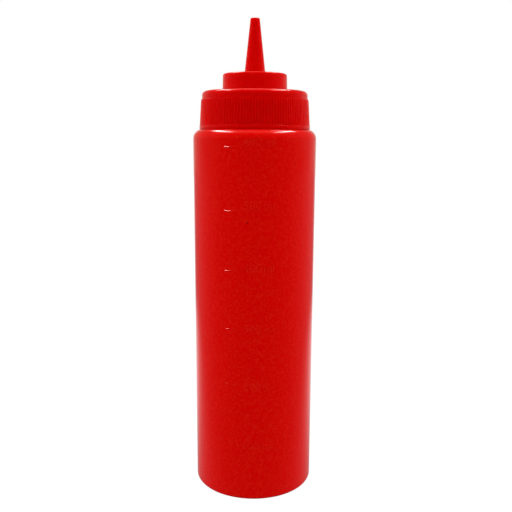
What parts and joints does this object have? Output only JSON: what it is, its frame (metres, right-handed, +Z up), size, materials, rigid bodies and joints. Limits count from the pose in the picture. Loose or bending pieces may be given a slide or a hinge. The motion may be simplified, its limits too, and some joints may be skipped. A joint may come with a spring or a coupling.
{
  "type": "condiment squeeze bottle",
  "caption": "Round red squeeze bottle for sauce, with raised volume marks and a ribbed screw cap that ends in a tall conical nozzle.",
  "frame": {"origin": "centre of the bottle's foot, on the surface it stands on", "axes": "+Z up along the axis of bottle and nozzle, -Y towards the side with the volume marks"},
  "size_m": [0.0666, 0.0666, 0.2564],
  "materials": {
    "bottle_plastic": "satin moulded red",
    "cap_plastic": "semi-gloss moulded red"
  },
  "bodies": {
    "root": {"bottle": "bottle_plastic", "cap": "cap_plastic"}
  },
  "joints": []
}
